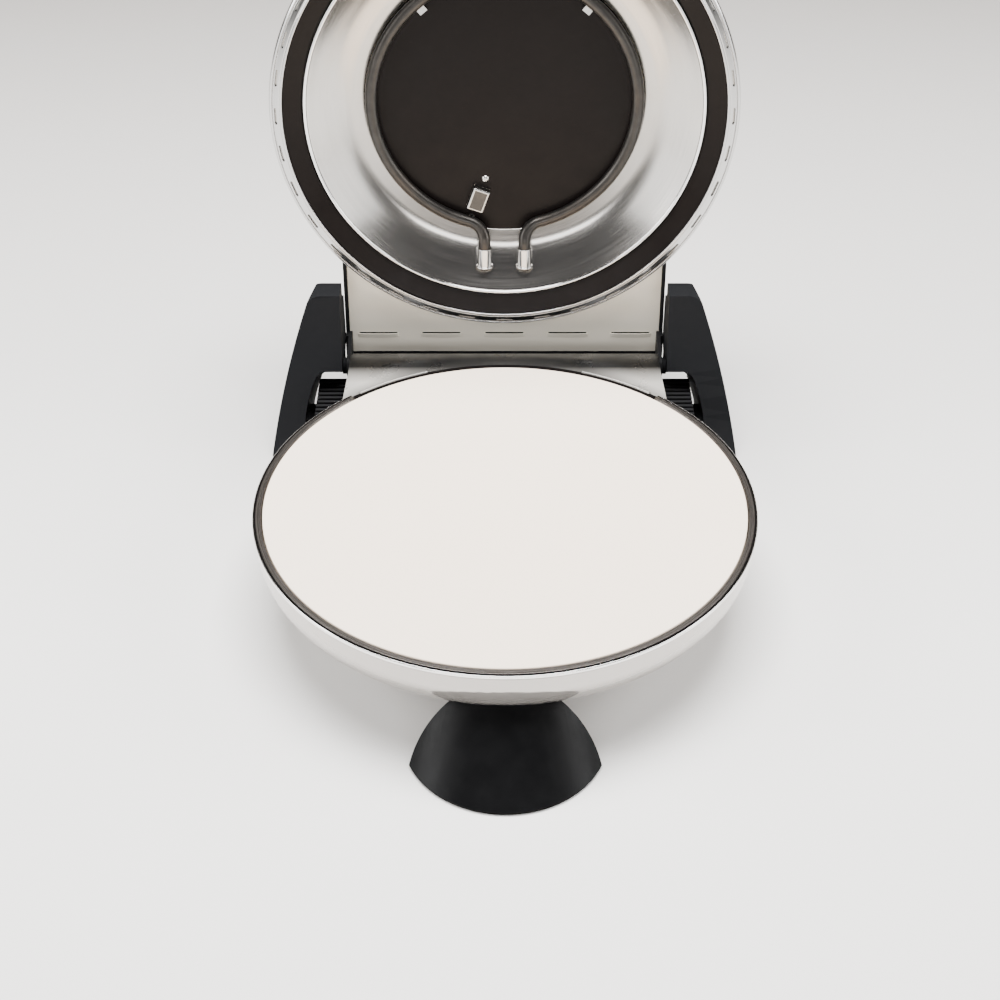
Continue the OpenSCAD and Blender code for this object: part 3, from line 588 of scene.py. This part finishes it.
def vent_cutter():
    """One round-ended block for each vent slot in the trim ring, all in one mesh."""
    verts, faces = [], []
    arc = [(VENT_W / 2 * math.cos(math.pi * k / 6), VENT_W / 2 * math.sin(math.pi * k / 6)) for k in range(7)]
    half = VENT_L / 2 - VENT_W / 2
    shape = [(x, y + half) for x, y in arc] + [(-x, -y - half) for x, y in arc]
    n = len(shape)
    for i in range(VENTS):
        a = 2 * math.pi * i / VENTS
        ca, sa = math.cos(a), math.sin(a)
        first = len(verts)
        for z in (LID_Z - 3, LID_Z + 5):
            verts += [((VENT_R + x) * ca - y * sa, (VENT_R + x) * sa + y * ca, z) for x, y in shape]
        faces.append(tuple(first + k for k in range(n)))
        faces.append(tuple(first + n + k for k in reversed(range(n))))
        faces += [(first + k, first + (k + 1) % n, first + n + (k + 1) % n, first + n + k) for k in range(n)]
    ob = bpy.data.objects.new("vent_cutter", make_mesh("vent_cutter", verts, faces, False))
    ob.matrix_world = LID
    bpy.context.scene.collection.objects.link(ob)
    return ob


def cut(ob, cutter):
    """Cuts the cutter out of a piece and keeps only the result."""
    mod = ob.modifiers.new("cut", "BOOLEAN")
    mod.operation = "DIFFERENCE"
    mod.solver = "EXACT"
    mod.object = cutter
    ob.modifiers.move(len(ob.modifiers) - 1, 0)
    bpy.context.view_layer.update()
    keep = [m for m in ob.modifiers if m.name != "cut"]
    for m in keep:
        m.show_viewport = False
    mesh = bpy.data.meshes.new_from_object(ob.evaluated_get(bpy.context.evaluated_depsgraph_get()))
    ob.modifiers.remove(mod)
    ob.data = mesh
    for m in keep:
        m.show_viewport = True
    bpy.data.objects.remove(cutter)


def trim_ring():
    """Chromed ring round the lid's mouth: an inner lip, a vented trough and an outer roll and skirt."""
    outline = rounded([
        (150.9, 76.2, 0.3), (150.9, 75.1, 0.6), (152.3, 75.05, 0.6), (152.7, 75.9, 0.3), (153.2, 75.7, 0.4),
        (157.2, 76.6, 0.4), (157.5, 77.3, 0.3), (157.9, 76.3, 0.6), (159.4, 77.1, 0.9), (160.0, 79.0, 0.8),
        (160.0, 82.8, 0.4), (159.2, 82.8, 0.3), (159.2, 79.0, 0.5), (157.6, 78.2, 0.3),
        (152.6, 76.9, 0.3)], 4)
    ring = lathe("trim_ring", outline, LID, "lid", TRIM, ("lid_trim_ring",), steps=432)
    cut(ring, vent_cutter())
    liner = rounded([(152.9, 77.3, 0), (157.4, 78.4, 0), (157.4, 78.8, 0), (152.9, 77.7, 0)])
    lathe("trim_ring_liner", liner, LID, "lid", CAP)


def black_ring():
    """Dark cone between the trim ring and the reflector."""
    outline = rounded([(150.7, 76.6, 0.3), (150.7, 77.8, 0.3), (138.0, 83.4, 0.3), (138.0, 82.1, 0.3)])
    lathe("black_ring", outline, LID, "lid", ENAMEL, ("lid_black_ring",))


def reflector():
    """The spun dish: down from the bead to a soft crease, then in to the centre plate."""
    inner = CENTRE_R - 2.9
    outline = rounded([
        (BEAD_R - 0.4, BEAD_Z, 0.3), (127.5, 88.6, 9.0), (TROUGH_R + 1.5, TROUGH_Z - 0.6, 9.0),
        (TROUGH_R - 6.0, TROUGH_Z + 3.3, 3.5), (inner, CENTRE_Z - 0.4, 0.8), (inner, CENTRE_Z + 0.6, 0.3),
        (TROUGH_R, TROUGH_Z + 1.4, 8.0), (128.0, 89.6, 9.0), (BEAD_R + 0.3, BEAD_Z + 1.0, 0.3)], 10)
    lathe("reflector_dish", outline, LID, "lid", DISH, ("lid_reflector",))
    steps = 20
    bead = []
    for k in range(steps):
        a = 2 * math.pi * k / steps
        bead.append((BEAD_R + BEAD_HALF * math.cos(a), BEAD_Z + BEAD_HALF * math.sin(a)))
    lathe("reflector_bead", bead, LID, "lid", BEAD)


trim_ring()
black_ring()
reflector()

HEATER_R, HEATER_TUBE = 92.0, 4.25
TERMINAL_X, BEND_R = 14.3, 14.0
END_Z, RING_Z = 92.0, 98.5
HEATER_END_Y, FERRULE_Y = 118.0, 106
LEG_STEPS, BEND_STEPS, RING_STEPS = 6, 12, 180
LIMIT_X, LIMIT_Y, LIMIT_TURN = -18.6, 72, 19.7


def heater_route(ring_z, end_z, y_end):
    """Centre line of a heater: out of one ferrule, round the ring and back to the other."""
    bend_x = TERMINAL_X + BEND_R
    bend_y = math.sqrt((HEATER_R + BEND_R) ** 2 - bend_x ** 2)
    start = math.atan2(bend_y, bend_x)
    jx, jy = HEATER_R * math.cos(start), HEATER_R * math.sin(start)
    tip = math.asin((ring_z - end_z) / (bend_y - jy))
    # half runs from the end of the straight leg round the bend to the ring
    half = []
    for k in range(BEND_STEPS + 1):
        a = math.pi + start * k / BEND_STEPS
        dx = BEND_R * math.cos(start) + BEND_R * math.cos(a)
        dy = BEND_R * math.sin(start) + BEND_R * math.sin(a)
        half.append((jx + dx, jy + dy * math.cos(tip), ring_z - dy * math.sin(tip)))
    out_y = half[0][1]
    leg = [(TERMINAL_X, y_end + (out_y - y_end) * k / LEG_STEPS, end_z) for k in range(LEG_STEPS)]
    right = leg + half
    ring = []
    sweep = math.pi + 2 * start
    for k in range(1, RING_STEPS):
        a = start - sweep * k / RING_STEPS
        ring.append((HEATER_R * math.cos(a), HEATER_R * math.sin(a), ring_z))
    left = [(-x, y, z) for x, y, z in reversed(right)]
    return right + ring + left


def ferrules():
    """The two chromed sleeves, with a flange, that the heater's ends go into."""
    outline = rounded([
        (4.4, 0, 0.2), (5.0, 0, 0.35), (5.0, 13.4, 0.2), (6.0, 13.6, 0.5), (6.0, 14.8, 0.5),
        (4.4, 14.8, 0.1)])
    along_y = Matrix.Rotation(math.radians(-90), 4, "X")
    for side, label, hides in ((-1, "left", ()), (1, "right", ("upper_heater_ferrules",))):
        place = LID @ shift(side * TERMINAL_X, FERRULE_Y, END_Z) @ along_y
        lathe("ferrule_" + label, outline, place, "lid", CHROME, hides, steps=48)


def limit_cap():
    """Cap of the temperature limiter, with a darker brushed face inside its bright edge."""
    place = LID @ shift(LIMIT_X, LIMIT_Y, CENTRE_Z) @ Matrix.Rotation(math.radians(LIMIT_TURN), 4, "Z")
    solid_box("limit_cap", (12.4, 17.2, 7.2), 1.3, place @ shift(0, 0, -2.9), "lid", CAP,
              ("limit_thermostat_cap",))
    solid_box("limit_cap_face", (9.2, 14.0, 0.6), 0.25, place @ shift(0, 0, -6.4), "lid", CAP_FACE)


tube("heater_tube", heater_route(RING_Z, END_Z, HEATER_END_Y), HEATER_TUBE, LID, "lid", HEATER,
     ("upper_heater",))
ferrules()
limit_cap()

SLOT_L, SLOT_PITCH, SLOT_Y, PLATE_Z = 28.0, 46.2, 170.0, 82.0
LIP_RISE, LIP_REACH = 0.9, 3.4


def plate_lips():
    """A soft raised lip along the hinge side of each slot in the cover plate."""
    verts, faces = [], []
    across, along = 8, 28
    for slot in range(-2, 3):
        first = len(verts)
        for j in range(along + 1):
            u = -1 + 2 * j / along
            for i in range(across + 1):
                v = i / across
                rise = LIP_RISE * (1 - u ** 6) * (1 - v) ** 1.6
                y = SLOT_Y - 0.1 + LIP_REACH * v * (1 - 0.25 * u ** 4)
                verts.append((slot * SLOT_PITCH + u * (SLOT_L / 2 + 0.8), y, PLATE_Z - 0.02 - rise))
        w = across + 1
        for j in range(along):
            for i in range(across):
                p = first + j * w + i
                faces.append((p, p + 1, p + w + 1, p + w))
    ob = add_piece("plate_lips", make_mesh("plate_lips", verts, faces), LID, "lid", PLATE)
    thick = ob.modifiers.new("thickness", "SOLIDIFY")
    thick.thickness = 0.3 * MM
    thick.offset = -1


plate_lips()


# ------------------------------------------------------------------ floor, light and camera
def stage_set():
    """A pale paper sweep, with painted shade that darkens it a little towards the back."""
    m = Surface("floor_paper")
    m.base(srgb(236, 234, 231), srgb(231, 229, 226), m.noise(3, 3))
    # painted shade towards the back
    m.tint(m.ramp(m.axis(1), -0.1, 1.0), srgb(160, 156, 152))
    m.rough = m.ramp(m.noise(40, 3), 0.3, 0.7, 0.42, 0.55)
    m.bump(m.noise(600, 2), 0.03, 0.0003)
    mat = m.done(Specular_IOR_Level=0.3)
    me = bpy.data.meshes.new("floor_sweep")
    front, back, high, bend, wide = -3.0, 2.4, 3.0, 0.9, 4.0
    steps = 24
    prof = [(front, 0.0)]
    for i in range(steps + 1):
        a = math.pi / 2 * i / steps
        prof.append((back - bend + bend * math.sin(a), bend - bend * math.cos(a)))
    prof.append((back, high))
    verts = [(x, y, z) for y, z in prof for x in (-wide, wide)]
    faces = [(2 * i, 2 * i + 1, 2 * i + 3, 2 * i + 2) for i in range(len(prof) - 1)]
    me.from_pydata(verts, [], faces)
    me.polygons.foreach_set("use_smooth", [True] * len(faces))
    ob = bpy.data.objects.new("floor_sweep", me)
    bpy.context.scene.collection.objects.link(ob)
    me.materials.append(mat)


def area_light(name, place, target, size, power):
    """A rectangular softbox that faces its target."""
    li = bpy.data.lights.new(name, "AREA")
    li.shape = "RECTANGLE"
    li.size, li.size_y = size
    li.energy = power
    ob = bpy.data.objects.new(name, li)
    ob.location = place
    ob.rotation_mode = "QUATERNION"
    ob.rotation_quaternion = (Vector(target) - Vector(place)).to_track_quat("-Z", "Y")
    bpy.context.scene.collection.objects.link(ob)


# name, place, target, width and height, watts; lengths in metres
LIGHTS = (
    ("top_softbox", (0.0, 0.25, 2.0), (0, 0.0, 0.1), (1.5, 1.1), 150),
    ("left_softbox", (-1.9, -0.1, 1.1), (0, 0.0, 0.1), (1.2, 1.2), 48),
    ("right_softbox", (1.9, 0.0, 1.1), (0, 0.0, 0.1), (1.2, 1.2), 44),
    ("front_fill", (0.0, -2.4, 0.9), (0, 0.0, 0.1), (2.4, 0.5), 30),
    ("left_card", (-2.2, -1.1, 0.5), (0, 0.1, 0.2), (1.3, 1.1), 15),
    ("right_card", (2.2, -1.1, 0.5), (0, 0.1, 0.2), (1.3, 1.1), 13),
)

stage_set()
for light in LIGHTS:
    area_light(*light)

world = bpy.data.worlds.new("studio")
world.use_nodes = True
background = world.node_tree.nodes["Background"]
background.inputs[0].default_value = (0.95, 0.96, 1.0, 1)
background.inputs[1].default_value = 0.07
bpy.context.scene.world = world

CAMERA_X, CAMERA_Y, CAMERA_Z = -3.2, -906.3, 781.6
CAMERA_PITCH = 38.0
cam = bpy.data.cameras.new("camera")
cam.lens = 64.8
cam.sensor_width = 36.0
cam.clip_start = 0.05
cam.clip_end = 30
cam_ob = bpy.data.objects.new("camera", cam)
cam_ob.location = (CAMERA_X * MM, (CAMERA_Y - ORIGIN_Y) * MM, CAMERA_Z * MM)
cam_ob.rotation_euler = (math.radians(90 - CAMERA_PITCH), 0, 0)
bpy.context.scene.collection.objects.link(cam_ob)
bpy.context.scene.camera = cam_ob
